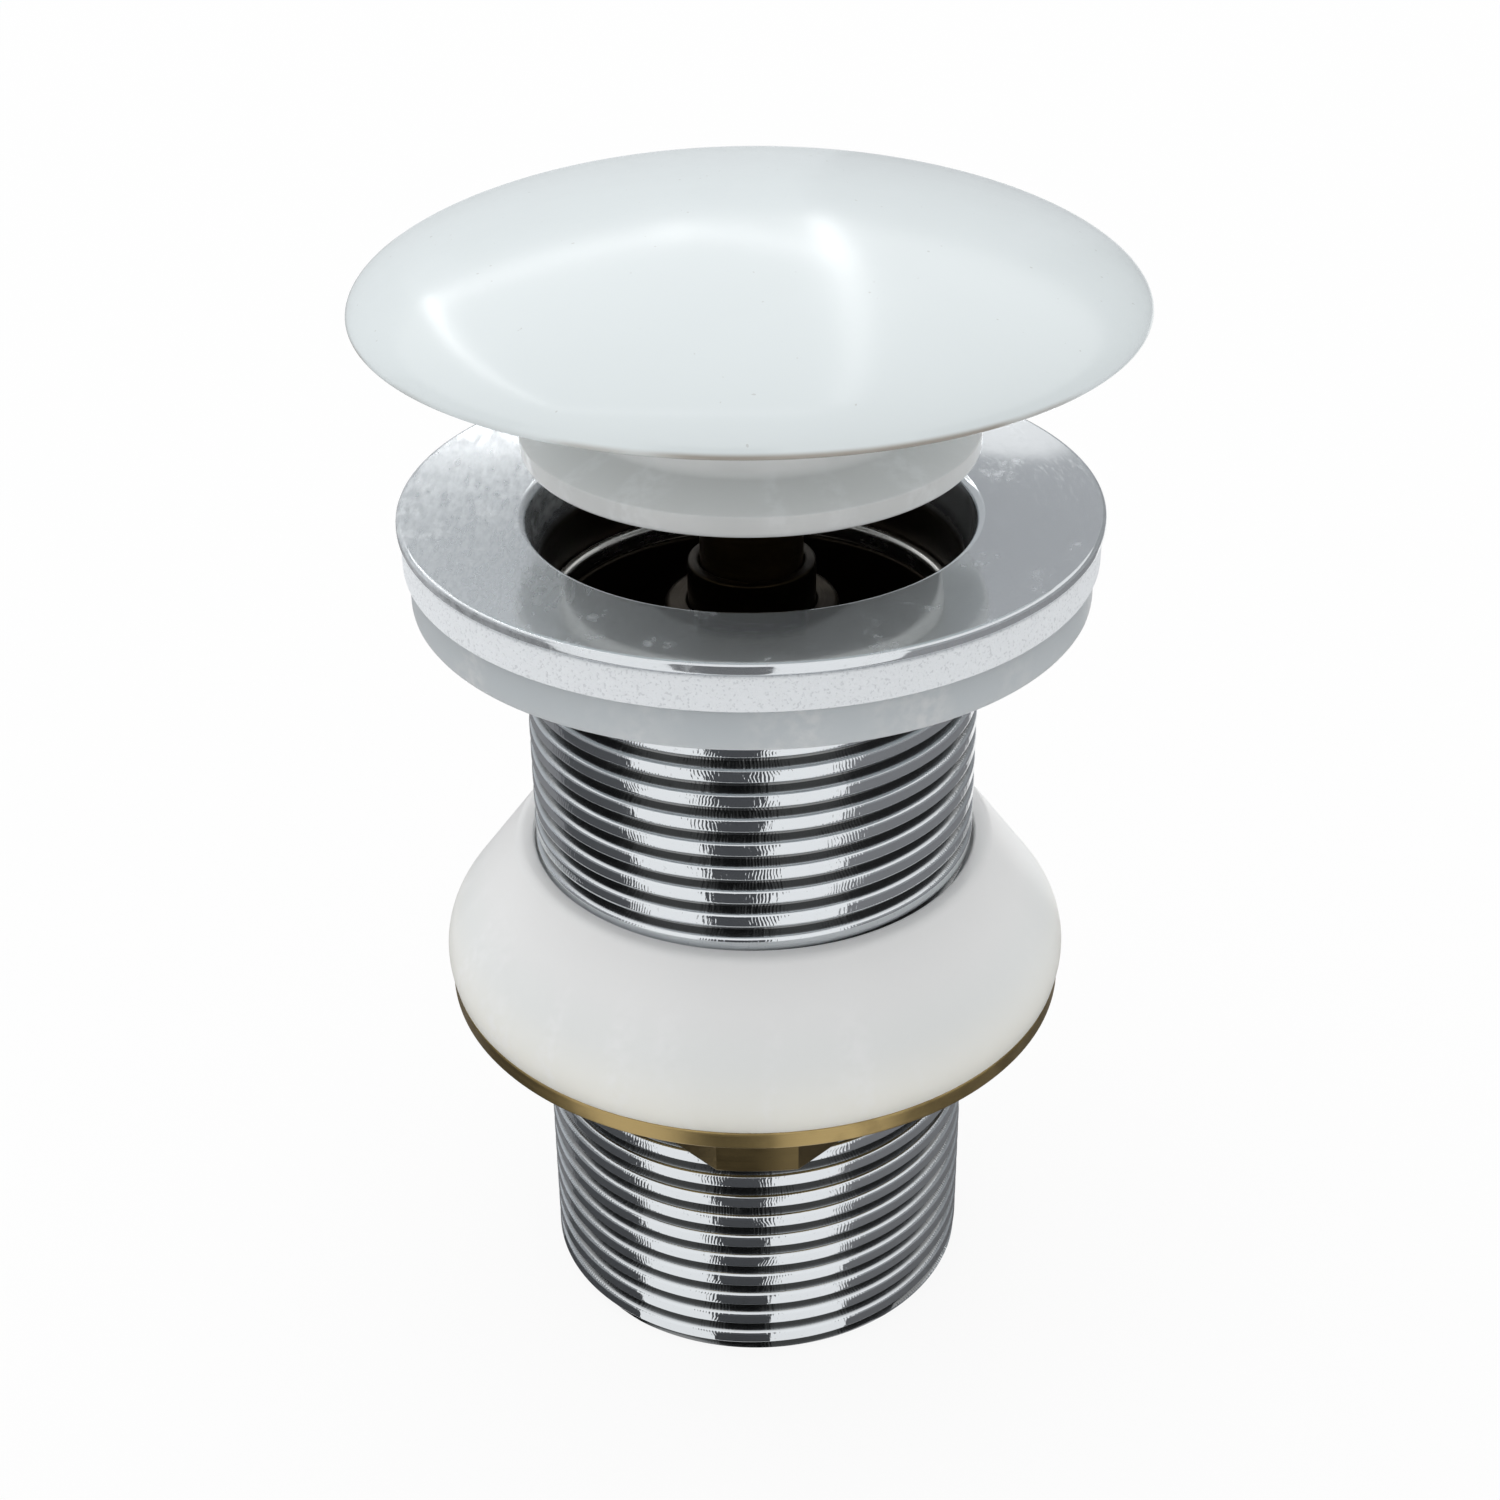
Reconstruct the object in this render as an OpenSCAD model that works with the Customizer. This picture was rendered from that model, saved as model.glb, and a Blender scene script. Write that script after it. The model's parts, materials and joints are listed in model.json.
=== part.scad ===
// Pop up basin waste with a domed ceramic cap, shown open.
// Millimetres, +Z up. The origin is the centre of the tail's lower end.

/* [Tail] */
// Major diameter of the pipe thread
thread_d = 41.91; // [38:0.01:48]
// Pitch of the thread
thread_pitch = 2.5; // [2:0.05:3]
// Width of the thread's groove at its crests
groove_w = 1.25; // [0.8:0.05:1.6]
// Width of the groove's floor
groove_floor = 0.25; // [0.1:0.05:0.5]
// Depth of the thread's groove
groove_depth = 0.9; // [0.4:0.05:1.2]
// Rise in the middle of the crests that the back nut runs on
crest_crown = 0.05; // [0.02:0.01:0.1]
// Depth of the plain neck between thread and flange
tail_neck_depth = 0.3; // [0.1:0.05:0.6]
// Height of neck that shows under the flat washer
tail_neck_h = 0.5; // [0.2:0.1:2]
// Height of the flange rim's underside above the tail's end
tail_l = 82.5; // [78:0.5:110]
// Wall of the tail, from thread crest to bore
tail_wall = 3.15; // [2.5:0.05:4.5]
// Chamfer at the tail's end
tail_chamfer = 0.6; // [0.2:0.1:1.2]
// Width of the run-out groove under the back nut
runout_w = 1.2; // [0.8:0.1:2]
// Depth of the run-out groove
runout_depth = 0.9; // [0.4:0.1:1.4]

/* [Flange and mouth] */
// Radial width of the flange, from mouth lip to rim
flange_w = 11.4; // [8:0.1:16]
// Thickness of the flange
flange_t = 1.1; // [0.8:0.1:2]
// Fall of the flange from its rim to the mouth
flange_dish = 1.9; // [0.4:0.1:2.8]
// Radius on the two edges of the rim
rim_round = 0.35; // [0.1:0.05:0.4]
// Radius of the mouth's rounded lip
lip_round = 1.1; // [0.6:0.1:1.6]
// Step between the cup under the mouth and the bore
ledge_w = 1.2; // [0.8:0.1:1.6]
// Depth of the ledge under the flange rim
ledge_depth = 11; // [9:0.5:16]

/* [Washers] */
// Distance of the foam's edge inside the flange rim
foam_inset = 0.3; // [0.1:0.1:2]
// Thickness of the foam at its edge
foam_t = 3.5; // [3:0.1:6]
// Distance of the flat washer's edge inside the flange rim
flat_inset = 0.8; // [0.1:0.1:3]
// Thickness of the flat washer
flat_t = 3.9; // [2:0.1:6]
// Radius on the flat washer's lower edge
flat_round = 0.6; // [0.2:0.1:1]
// Play of both washers on the thread
washer_play = 0.25; // [0.1:0.05:0.6]

/* [Cone gasket] */
// Free height between flat washer and gasket, which holds the basin
basin_gap = 26; // [16:0.5:30]
// Height of the gasket
gasket_h = 13.85; // [10:0.05:18]
// Radial width of the gasket at its shoulder
gasket_w = 9.5; // [8:0.1:13]
// Radial width of the lip at the gasket's top
gasket_top_w = 1.6; // [1:0.1:3]
// Height of the shoulder above the gasket's base
gasket_shoulder_h = 3.1; // [2.5:0.1:5]
// Length of the rounding on each side of the shoulder
gasket_round = 2; // [0.5:0.1:2.2]
// Play of the gasket on the thread
gasket_play = 0.15; // [0.1:0.05:0.4]

/* [Back nut] */
// Radial width of the nut's round rim
nut_rim_w = 8.9; // [7:0.1:12]
// Thickness of the rim
nut_rim_t = 1.8; // [1:0.1:3]
// Wall of the square below the rim, from thread to flat
nut_wall = 1.6; // [1.2:0.05:4]
// Radial width of the square at its turned corners
nut_corner_w = 7.45; // [4:0.05:8.5]
// Height of the square
nut_square_h = 3.9; // [3:0.1:10]
// Play of the nut on the thread
nut_play = 0.1; // [0.05:0.01:0.2]

/* [Cap] */
// Overhang of the cap past the flange rim
cap_overhang = 2.6; // [1:0.1:6]
// Height of the dome above its widest line
cap_dome_h = 8.85; // [7:0.05:16]
// Exponent of the dome's curve, 2 is an ellipse
cap_curve = 1.7; // [1.6:0.05:2.6]
// Radius on the cap's lower edge
cap_edge = 0.7; // [0.5:0.1:2.5]
// Diameter of the brass insert
insert_d = 18; // [14:0.5:24]
// Height of the brass insert
insert_h = 4; // [3:0.1:5]

/* [Plug seal and carrier] */
// Travel of the plug from open to closed
plug_travel = 6.9; // [5:0.1:9]
// Room between seal and mouth when closed
seat_room = 0.3; // [0.2:0.05:0.6]
// Overlap of the seal's lip on the mouth
seal_overlap = 0.2; // [0.1:0.1:1]
// Thickness of the lip's edge
seal_edge_t = 2; // [1.2:0.1:3]
// Radial width of the lip
seal_lip_w = 5; // [3.5:0.1:5.5]
// Rise of the lip's upper side to the neck
seal_rise = 1.4; // [0.5:0.1:2.5]
// Height of the neck, from lip to cap
seal_neck_h = 9.4; // [7:0.1:12]
// Wall of the neck
seal_wall = 2.9; // [2:0.1:3.5]
// Width of the carrier's flange under the seal
carrier_flange_w = 4.2; // [2:0.1:5]
// Thickness of the carrier's flange
carrier_flange_t = 1.3; // [0.8:0.1:2]
// Wall of the carrier's hub
carrier_wall = 2.8; // [1.5:0.1:3.2]
// Thickness of the carrier's top plate
carrier_plate_t = 3; // [2:0.1:4]

/* [Stud and plunger] */
// Diameter of the stud
stud_d = 5; // [4:0.1:5.5]
// Length of stud inside the plunger
stud_grip = 11; // [6:0.5:14]
// Depth left free under the stud
stud_room = 1; // [0.5:0.1:2]
// Slope of the bevel on the corners of hexagons
hex_bevel = 25; // [15:1:35]
// Wall of the lock nut, from stud to flat
lock_nut_wall = 2; // [1.2:0.1:2.6]
// Thickness of the lock nut
lock_nut_t = 3.4; // [2:0.1:4]
// Diameter of the plunger
plunger_d = 9.4; // [9:0.1:11]
// Length of plunger held in the barrel when open
plunger_guide = 11.5; // [11:0.5:14]
// Diameter of the shank that carries the drum
shank_d = 4.4; // [4:0.1:5]
// Length of shank past the retaining clip
shank_tail = 6.4; // [2:0.1:7]
// Thickness of the O-ring
o_ring_t = 1.1; // [0.8:0.1:1.2]
// Depth of the O-ring under the barrel's mouth when open
o_ring_depth = 3.5; // [2.5:0.1:5]

/* [Click mechanism] */
// Play of the plunger in the barrel
run_play = 0.06; // [0.03:0.01:0.1]
// Wall of the barrel
barrel_wall = 1.1; // [0.8:0.05:2]
// Height of the barrel above the bridge
barrel_rise = 4; // [3:0.1:6]
// Play of the drum in the barrel
drum_play = 0.15; // [0.1:0.01:0.3]
// Press past the latched place, which the track allows
track_over = 0.8; // [0.5:0.1:1]
// Latching positions around the drum
track_count = 3; // [2:1:3]
// Half the angle between the two crests beside a latch notch
crest_half = 20; // [16:1:22]
// Depth of the track
track_depth = 1.2; // [0.8:0.1:1.5]
// Diameter of the guide pin
pin_d = 1.4; // [1.2:0.1:1.6]
// Play of the guide pin in the track
track_play = 0.15; // [0.1:0.01:0.25]
// Land left above and below the track
drum_land = 1.4; // [1.2:0.1:2.5]
// Thickness of the thrust washer
thrust_t = 0.8; // [0.5:0.1:1.5]
// Thickness of the retaining clip
clip_t = 0.7; // [0.5:0.1:1]
// Radial width of the retaining clip
clip_w = 1.2; // [0.8:0.1:1.3]
// Depth of the clip's groove
clip_groove = 0.4; // [0.2:0.05:0.5]
// Wire of the return spring
spring_wire = 0.8; // [0.6:0.05:0.9]
// Turns of the return spring
spring_turns = 8; // [6:0.5:9]
// Length of the return spring when open
spring_l = 17; // [16.5:0.5:22]
// Height of the end plug
end_plug_h = 4.1; // [3:0.1:6]
// Diameter of the hole through the end plug
end_plug_bore = 2.4; // [1.5:0.1:3]
// Width and depth of the end plug's driver slot
driver_slot = 1.2; // [0.8:0.1:1.5]

/* [Bridge] */
// Thickness of the bridge's ring
ring_t = 2; // [1.2:0.1:3]
// Radial width of the ring
ring_w = 1.05; // [0.8:0.05:2]
// Wall of the hub
hub_wall = 2.15; // [1.5:0.05:3]
// Height of the hub
hub_h = 9; // [6:0.5:11]
// Width of the arms
arm_w = 5; // [3:0.1:6]
// Depth of the arms at the hub
arm_h = 6; // [4:0.1:8]
// Wall of the cartridge nut, from barrel to flat
cartridge_nut_wall = 2.6; // [1.5:0.1:4]
// Thickness of the cartridge nut
cartridge_nut_t = 4; // [2.5:0.1:5]

/* [Hidden] */
$fn = 96;
// Room between pieces of one assembly that are screwed, glued or slipped together
seat = 0.05;
// Chamfer on small turned edges
edge = 0.4;
// Distance inside the flats at which a hexagon's bevel starts
bevel_inset = 0.25;
// Overshoot of cutting bodies
cut = 1;

// Tail, flange and mouth
thread_r = thread_d / 2;
crest_w = thread_pitch - groove_w;
groove_flank = (groove_w - groove_floor) / 2;
tail_neck_r = thread_r - tail_neck_depth;
bore_r = thread_r - tail_wall;
cup_r = bore_r + ledge_w;
mouth_r = cup_r + lip_round;
flange_r = mouth_r + flange_w;
rim_top_z = tail_l + flange_t;
mouth_z = rim_top_z - flange_dish;
dish_slope = flange_dish / flange_w;
ledge_z = tail_l - ledge_depth;

// Washers, gasket and nut, stacked down the tail
washer_r = thread_r + washer_play;
foam_r = flange_r - foam_inset;
foam_z = tail_l - foam_t;
flat_r = flange_r - flat_inset;
flat_z = foam_z - flat_t;
gasket_top_z = flat_z - basin_gap;
gasket_z = gasket_top_z - gasket_h;
gasket_bore_r = thread_r + gasket_play;
gasket_r = thread_r + gasket_w;
nut_rim_z = gasket_z - nut_rim_t;
nut_z = nut_rim_z - nut_square_h;
nut_rim_r = thread_r + nut_rim_w;
nut_flat_r = thread_r + nut_wall;
nut_corner_r = thread_r + nut_corner_w;
runout_z = nut_z - seat - runout_w;

// Plug, stacked up from the mouth
seal_z = mouth_z + seat_room + plug_travel;
seal_edge_z = seal_z + seal_edge_t;
neck_z = seal_edge_z + seal_rise;
cap_z = neck_z + seal_neck_h;
lip_r = mouth_r + seal_overlap;
neck_r = lip_r - seal_lip_w;
seal_bore_r = neck_r - seal_wall;
carrier_r = seal_bore_r - seat;
carrier_bore_r = carrier_r - carrier_wall;
carrier_z = seal_z - carrier_flange_t;
plate_z = cap_z - carrier_plate_t;
cap_r = flange_r + cap_overhang;
cap_rim_z = cap_z + cap_edge;
insert_r = insert_d / 2;
stud_r = stud_d / 2;
plunger_top_z = plate_z - lock_nut_t - 2 * seat;
stud_z = plunger_top_z - stud_grip;
stud_l = cap_z + insert_h - seat - stud_z;

// Bridge and barrel
bridge_z = ledge_z + ring_t;
plunger_r = plunger_d / 2;
barrel_bore_r = plunger_r + run_play;
barrel_r = barrel_bore_r + barrel_wall;
barrel_top_z = bridge_z + barrel_rise;
hub_r = barrel_r + seat + hub_wall;
hub_z = bridge_z - hub_h;
ring_r = cup_r - seat;

// Drum, clip and spring, hung under the plunger
shank_r = shank_d / 2;
pin_r = pin_d / 2;
track_r = pin_r + track_play;
track_rise = plug_travel + track_over;
drum_r = barrel_bore_r - drum_play;
drum_h = track_rise + 2 * (pin_r + drum_land);
plunger_z = barrel_top_z - plunger_guide;
drum_z = plunger_z - seat - drum_h;
pin_z = drum_z + pin_r + drum_land;
track_floor_r = drum_r - track_depth;
leg_angle = 180 / track_count - crest_half;
thrust_z = drum_z - seat - thrust_t;
clip_z = thrust_z - seat - clip_t;
clip_r = shank_r - clip_groove;
shank_z = clip_z - shank_tail;
spring_top_z = thrust_z - seat;
spring_z = spring_top_z - spring_l;
spring_r = drum_r - spring_wire / 2;
end_plug_top_z = spring_z - seat;
barrel_z = end_plug_top_z - end_plug_h;

// Points of an arc round a centre, from one angle to another
function arc(centre, r, from, to, steps = 6) =
    [for (i = [0 : steps]) let (a = from + (to - from) * i / steps) centre + r * [cos(a), sin(a)]];

// Points of a bend that leaves a for the corner and arrives at b
function bend(a, corner, b, steps = 6) =
    [for (i = [0 : steps]) let (t = i / steps) (1 - t) * (1 - t) * a + 2 * t * (1 - t) * corner + t * t * b];

// Point at a distance from one point towards another
function towards(a, b, distance) = a + (b - a) * distance / norm(b - a);

// Height of the flange's underside at a radius
function flange_under(r) = tail_l - dish_slope * (flange_r - r);

// Outline of one crest of the thread
function crest(from, to, crown) = crown == 0
    ? [[thread_r, from], [thread_r, to]]
    : [[thread_r - crown, from], [thread_r, (from + to) / 2], [thread_r - crown, to]];

// Outline of a stretch of thread, whose turns are rings here
function thread(from, to, crown = 0) =
    let (
        count = floor((to - from - crest_w) / thread_pitch),
        first = (from + to - count * thread_pitch + crest_w) / 2
    )
    concat(
        crest(from, first, crown),
        [for (i = [0 : 1 : count - 1]) let (z = first + i * thread_pitch) each concat(
            [
                [thread_r - groove_depth, z + groove_flank],
                [thread_r - groove_depth, z + groove_w - groove_flank]
            ],
            crest(z + groove_w, i < count - 1 ? z + thread_pitch : to, crown)
        )]
    );

// Dome of the cap, from its widest line to its top
function dome(steps = 28) =
    [for (i = [0 : steps]) let (a = 90 * i / steps)
        [cap_r * pow(cos(a), 2 / cap_curve), cap_rim_z + cap_dome_h * pow(sin(a), 2 / cap_curve)]];

// Height along the spring after some turns, with one closed turn at each end
function coil_z(turn) =
    let (closed = spring_wire, open = (spring_l - 3 * spring_wire) / (spring_turns - 2))
    spring_z + spring_wire / 2 + closed * min(turn, 1) + open * max(0, min(turn - 1, spring_turns - 2))
        + closed * max(0, turn - spring_turns + 1);

// Height of the pin's path above its lowest place, at an angle round the drum
function path_z(angle) =
    let (step = 360 / track_count, turn = abs(angle) % step, leg = min(turn, step - turn))
    leg < leg_angle ? track_rise * leg / leg_angle : track_rise - track_over * (leg - leg_angle) / crest_half;

// Height of the track's lower wall (side -1) or upper wall (side 1), which the pin's round section sweeps out
function track_wall(angle, side) =
    let (reach = asin(track_r / track_floor_r))
    pin_z + side * max([for (t = [-90 : 10 : 90]) side * path_z(angle + reach * sin(t)) + track_r * cos(t)]);

// Solid of revolution from radius and height points
module turned(points) {
    rotate_extrude() polygon(points);
}

// Upright ring
module ring(outer, inner, z, h) {
    translate([0, 0, z]) difference() {
        cylinder(r = outer, h = h);
        translate([0, 0, -cut]) cylinder(r = inner, h = h + 2 * cut);
    }
}

// Hexagon with bevelled corners, sized from axis to flat
module hexagon(flat_r, z, h) {
    corner_r = flat_r / cos(30);
    start_r = flat_r - bevel_inset;
    fall = (corner_r + cut - start_r) * tan(hex_bevel);
    intersection() {
        translate([0, 0, z]) rotate(30) cylinder(r = corner_r, h = h, $fn = 6);
        turned([
            [0, z],
            [start_r, z],
            [corner_r + cut, z + fall],
            [corner_r + cut, z + h - fall],
            [start_r, z + h],
            [0, z + h]
        ]);
    }
}

// Plain hexagon nut
module hex_nut(flat_r, bore, z, h) {
    difference() {
        hexagon(flat_r, z, h);
        translate([0, 0, z - cut]) cylinder(r = bore, h = h + 2 * cut);
    }
}

// Zigzag track all round the drum, from its floor outwards
module track() {
    stations = 90;
    outer = drum_r + cut;
    points = [for (i = [0 : stations - 1])
        let (a = 360 * i / stations, low = track_wall(a, -1), high = track_wall(a, 1))
        each [for (corner = [[outer, low], [outer, high], [track_floor_r, high], [track_floor_r, low]])
            [corner.x * cos(a), corner.x * sin(a), corner.y]]];
    walls = [for (i = [0 : stations - 1], s = [0 : 3])
        let (j = (i + 1) % stations, t = (s + 1) % 4)
        [i * 4 + s, i * 4 + t, j * 4 + t, j * 4 + s]];
    polyhedron(points, walls);
}

module waste_body() {
    color("silver") turned(concat(
        [[bore_r, 0], [thread_r - tail_chamfer, 0]],
        thread(tail_chamfer, runout_z),
        [[thread_r - runout_depth, runout_z], [thread_r - runout_depth, runout_z + runout_w]],
        thread(runout_z + runout_w, flat_z - tail_neck_h, crest_crown),
        [[tail_neck_r, flat_z - tail_neck_h], [tail_neck_r, flange_under(tail_neck_r)]],
        arc([flange_r - rim_round, tail_l + rim_round], rim_round, -90, 0, 3),
        arc([flange_r - rim_round, rim_top_z - rim_round], rim_round, 0, 90, 3),
        arc([mouth_r, mouth_z - lip_round], lip_round, 90, 180),
        [[cup_r, ledge_z], [bore_r, ledge_z]]
    ));
}

module bridge() {
    arm_end = ring_r - ring_w / 2;
    color("darkgoldenrod") {
        difference() {
            union() {
                ring(ring_r, ring_r - ring_w, ledge_z, ring_t);
                translate([0, 0, hub_z]) cylinder(r = hub_r, h = hub_h);
                for (side = [90, 270])
                    rotate([90, 0, side]) linear_extrude(height = arm_w, center = true) polygon([
                        [hub_r - hub_wall / 2, bridge_z],
                        [arm_end, bridge_z],
                        [arm_end, ledge_z],
                        [bore_r - ring_w / 2, ledge_z],
                        [hub_r - hub_wall / 2, bridge_z - arm_h]
                    ]);
            }
            translate([0, 0, hub_z - cut]) cylinder(r = barrel_r + seat, h = hub_h + 2 * cut);
        }
    }
}

module cartridge_barrel() {
    color("goldenrod") difference() {
        turned([
            [barrel_bore_r, barrel_z],
            [barrel_r - edge, barrel_z],
            [barrel_r, barrel_z + edge],
            [barrel_r, barrel_top_z - edge],
            [barrel_r - edge, barrel_top_z],
            [barrel_bore_r, barrel_top_z]
        ]);
        translate([0, 0, pin_z]) rotate([0, 90, 0]) cylinder(r = pin_r + seat / 2, h = barrel_r + cut);
    }
}

module cartridge_nut() {
    flat_r = barrel_r + cartridge_nut_wall;
    color("darkgoldenrod") hex_nut(flat_r, barrel_r + seat, hub_z - cartridge_nut_t, cartridge_nut_t);
}

module guide_pin() {
    color("dimgray") translate([track_floor_r + track_play, 0, pin_z]) rotate([0, 90, 0])
        cylinder(r = pin_r, h = barrel_r - edge - track_floor_r - track_play);
}

module end_plug() {
    plug_r = barrel_bore_r - seat;
    color("goldenrod") difference() {
        ring(plug_r, end_plug_bore / 2, barrel_z, end_plug_h);
        translate([-plug_r - cut, -driver_slot / 2, barrel_z - cut])
            cube([2 * (plug_r + cut), driver_slot, driver_slot + cut]);
    }
}

module return_spring() {
    sides = 8;
    steps = 16;
    last = spring_turns * steps;
    points = [for (i = [0 : last], s = [0 : sides - 1])
        let (turn = 360 * i / steps, a = 360 * s / sides, r = spring_r - spring_wire / 2 * (1 - cos(a)))
        [r * cos(turn), r * sin(turn), coil_z(i / steps) + spring_wire / 2 * sin(a)]];
    walls = [for (i = [0 : last - 1], s = [0 : sides - 1])
        let (t = (s + 1) % sides)
        [i * sides + s, i * sides + t, (i + 1) * sides + t, (i + 1) * sides + s]];
    ends = [[for (s = [sides - 1 : -1 : 0]) s], [for (s = [0 : sides - 1]) last * sides + s]];
    color("lightsteelblue") polyhedron(points, concat(walls, ends));
}

module foam_washer() {
    color("white") turned([
        [washer_r, foam_z],
        [foam_r, foam_z],
        [foam_r, flange_under(foam_r) - seat],
        [washer_r, flange_under(washer_r) - seat]
    ]);
}

module flat_washer() {
    color("gainsboro") turned(concat(
        [[washer_r, flat_z]],
        arc([flat_r - flat_round, flat_z + flat_round], flat_round, -90, 0, 4),
        [[flat_r, foam_z], [washer_r, foam_z]]
    ));
}

module cone_gasket() {
    base = [nut_rim_r, gasket_z];
    shoulder = [gasket_r, gasket_z + gasket_shoulder_h];
    top = [gasket_bore_r + gasket_top_w, gasket_top_z];
    color("whitesmoke") turned(concat(
        [[gasket_bore_r, gasket_z], base],
        bend(towards(shoulder, base, gasket_round), shoulder, towards(shoulder, top, gasket_round)),
        [top, [gasket_bore_r, gasket_top_z]]
    ));
}

// Square with corners turned round, one of them to the front
module turned_square(flat_r, corner_r, h) {
    intersection() {
        cylinder(r = corner_r, h = h);
        rotate(45) translate([-flat_r, -flat_r, 0]) cube([2 * flat_r, 2 * flat_r, h]);
    }
}

module back_nut() {
    nut_h = nut_square_h + nut_rim_t;
    color("darkgoldenrod") translate([0, 0, nut_z]) difference() {
        union() {
            turned_square(nut_flat_r, nut_corner_r, nut_h - nut_rim_t / 2);
            translate([0, 0, nut_square_h]) cylinder(r = nut_rim_r, h = nut_rim_t);
        }
        translate([0, 0, -cut]) cylinder(r = thread_r + nut_play, h = nut_h + 2 * cut);
    }
}

module ceramic_cap() {
    recess_r = insert_r + seat;
    recess_z = cap_z + insert_h + seat;
    color("white") turned(concat(
        [[0, recess_z], [recess_r, recess_z], [recess_r, cap_z]],
        arc([cap_r - cap_edge, cap_rim_z], cap_edge, -90, 0),
        dome()
    ));
}

module cap_insert() {
    groove = insert_h / 4;
    color("goldenrod") turned([
        [stud_r + seat, cap_z],
        [insert_r, cap_z],
        [insert_r, cap_z + groove],
        [insert_r - edge, cap_z + groove],
        [insert_r - edge, cap_z + 2 * groove],
        [insert_r, cap_z + 2 * groove],
        [insert_r, cap_z + insert_h],
        [stud_r + seat, cap_z + insert_h]
    ]);
}

module plug_seal() {
    fillet = seal_rise / 2;
    corner = [neck_r, neck_z];
    lip_edge = [lip_r, seal_edge_z];
    color("gainsboro") turned(concat(
        [[seal_bore_r, seal_z]],
        arc([lip_r - edge, seal_z + edge], edge, -90, 0, 3),
        [lip_edge],
        bend(towards(corner, lip_edge, fillet), corner, corner + [0, fillet], 4),
        [[neck_r, cap_z], [seal_bore_r, cap_z]]
    ));
}

module seal_carrier() {
    flange_end = carrier_r + carrier_flange_w;
    color("snow") turned([
        [carrier_bore_r, carrier_z],
        [flange_end - edge, carrier_z],
        [flange_end, carrier_z + edge],
        [flange_end, seal_z],
        [carrier_r, seal_z],
        [carrier_r, cap_z],
        [stud_r + seat, cap_z],
        [stud_r + seat, plate_z],
        [carrier_bore_r, plate_z]
    ]);
}

module cap_stud() {
    top = stud_z + stud_l;
    color("goldenrod") turned([
        [0, stud_z],
        [stud_r - edge, stud_z],
        [stud_r, stud_z + edge],
        [stud_r, top - edge],
        [stud_r - edge, top],
        [0, top]
    ]);
}

module stud_lock_nut() {
    flat_r = stud_r + lock_nut_wall;
    color("goldenrod") hex_nut(flat_r, stud_r + seat, plunger_top_z + seat, lock_nut_t);
}

module plunger() {
    hole_r = stud_r + seat;
    hole_z = stud_z - stud_room;
    groove_z = barrel_top_z - o_ring_depth;
    groove_r = plunger_r - o_ring_t;
    color("goldenrod") turned([
        [0, hole_z],
        [hole_r, hole_z],
        [hole_r, plunger_top_z],
        [plunger_r - edge, plunger_top_z],
        [plunger_r, plunger_top_z - edge],
        [plunger_r, groove_z + o_ring_t / 2 + seat],
        [groove_r, groove_z + o_ring_t / 2 + seat],
        [groove_r, groove_z - o_ring_t / 2 - seat],
        [plunger_r, groove_z - o_ring_t / 2 - seat],
        [plunger_r, plunger_z],
        [shank_r, plunger_z],
        [shank_r, clip_z + clip_t + seat],
        [clip_r, clip_z + clip_t + seat],
        [clip_r, clip_z - seat],
        [shank_r, clip_z - seat],
        [shank_r, shank_z + edge],
        [shank_r - edge, shank_z],
        [0, shank_z]
    ]);
}

module plunger_o_ring() {
    centre_r = barrel_bore_r - run_play / 2 - o_ring_t / 2;
    color("dimgray") rotate_extrude() translate([centre_r, barrel_top_z - o_ring_depth]) circle(d = o_ring_t);
}

module click_drum() {
    color("ivory") difference() {
        ring(drum_r, shank_r + run_play, drum_z, drum_h);
        track();
    }
}

module thrust_washer() {
    color("silver") ring(drum_r, shank_r + run_play, thrust_z, thrust_t);
}

module retaining_clip() {
    inner = clip_r + seat;
    color("slategray") difference() {
        ring(inner + clip_w, inner, clip_z, clip_t);
        translate([0, -inner / 2, clip_z - cut]) cube([inner + clip_w + cut, inner, clip_t + 2 * cut]);
    }
}

waste_body();
bridge();
cartridge_barrel();
cartridge_nut();
guide_pin();
end_plug();
return_spring();
foam_washer();
flat_washer();
cone_gasket();
back_nut();
ceramic_cap();
cap_insert();
plug_seal();
seal_carrier();
cap_stud();
stud_lock_nut();
plunger();
plunger_o_ring();
click_drum();
thrust_washer();
retaining_clip();
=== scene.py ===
"""Looks of a pop up basin waste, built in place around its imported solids."""

import json
import math

import bmesh
import bpy
from mathutils import Matrix, Vector


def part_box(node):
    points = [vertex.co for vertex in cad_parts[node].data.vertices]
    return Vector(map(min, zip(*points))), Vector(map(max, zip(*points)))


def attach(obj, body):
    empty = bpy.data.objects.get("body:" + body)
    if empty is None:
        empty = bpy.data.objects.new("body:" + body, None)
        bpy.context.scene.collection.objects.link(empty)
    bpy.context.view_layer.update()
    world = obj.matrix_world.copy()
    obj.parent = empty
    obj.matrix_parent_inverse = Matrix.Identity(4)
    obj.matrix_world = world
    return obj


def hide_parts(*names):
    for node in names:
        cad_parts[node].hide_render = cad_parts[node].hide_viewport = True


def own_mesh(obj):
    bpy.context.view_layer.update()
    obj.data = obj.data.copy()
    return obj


bl_info = {
    "name": "Pop up basin waste",
    "version": (1, 0, 0),
    "blender": (4, 5, 0),
    "location": "3D View > Sidebar > Basin waste",
    "description": "Builds the detailed pieces and finishes of a pop up basin waste",
    "category": "Object",
}

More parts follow.
